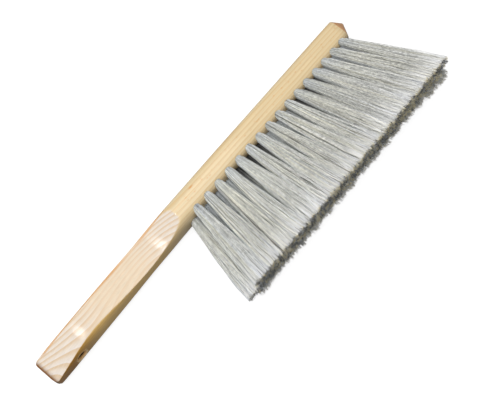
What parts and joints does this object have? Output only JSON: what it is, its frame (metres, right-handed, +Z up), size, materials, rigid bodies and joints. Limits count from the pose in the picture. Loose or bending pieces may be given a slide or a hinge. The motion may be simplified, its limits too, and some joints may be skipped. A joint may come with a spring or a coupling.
{
  "type": "flour brush",
  "caption": "Bench brush with a one-piece wooden handle and block, a hang hole and three staggered rows of fanned synthetic bristle tufts.",
  "frame": {"origin": "middle of the flat land on the block's lower side, which lies on the bench", "axes": "X along the bar from the butt to the nose, +Y out of the bar's back with the bristles pointing to -Y, +Z up from the bench"},
  "size_m": [0.3494, 0.0916, 0.0353],
  "materials": {
    "wood": "clear lacquer",
    "bristle": "satin"
  },
  "bodies": {
    "root": {"handle_block": "wood", "tuft_near_01": "bristle", "tuft_near_02": "bristle", "tuft_near_03": "bristle", "tuft_near_04": "bristle", "tuft_near_05": "bristle", "tuft_near_06": "bristle", "tuft_near_07": "bristle", "tuft_near_08": "bristle", "tuft_near_09": "bristle", "tuft_near_10": "bristle", "tuft_near_11": "bristle", "tuft_near_12": "bristle", "tuft_near_13": "bristle", "tuft_near_14": "bristle", "tuft_near_15": "bristle", "tuft_near_16": "bristle", "tuft_middle_01": "bristle", "tuft_middle_02": "bristle", "tuft_middle_03": "bristle", "tuft_middle_04": "bristle", "tuft_middle_05": "bristle", "tuft_middle_06": "bristle", "tuft_middle_07": "bristle", "tuft_middle_08": "bristle", "tuft_middle_09": "bristle", "tuft_middle_10": "bristle", "tuft_middle_11": "bristle", "tuft_middle_12": "bristle", "tuft_middle_13": "bristle", "tuft_middle_14": "bristle", "tuft_middle_15": "bristle", "tuft_middle_16": "bristle", "tuft_far_01": "bristle", "tuft_far_02": "bristle", "tuft_far_03": "bristle", "tuft_far_04": "bristle", "tuft_far_05": "bristle", "tuft_far_06": "bristle", "tuft_far_07": "bristle", "tuft_far_08": "bristle", "tuft_far_09": "bristle", "tuft_far_10": "bristle", "tuft_far_11": "bristle", "tuft_far_12": "bristle", "tuft_far_13": "bristle", "tuft_far_14": "bristle", "tuft_far_15": "bristle", "tuft_far_16": "bristle"}
  },
  "joints": []
}
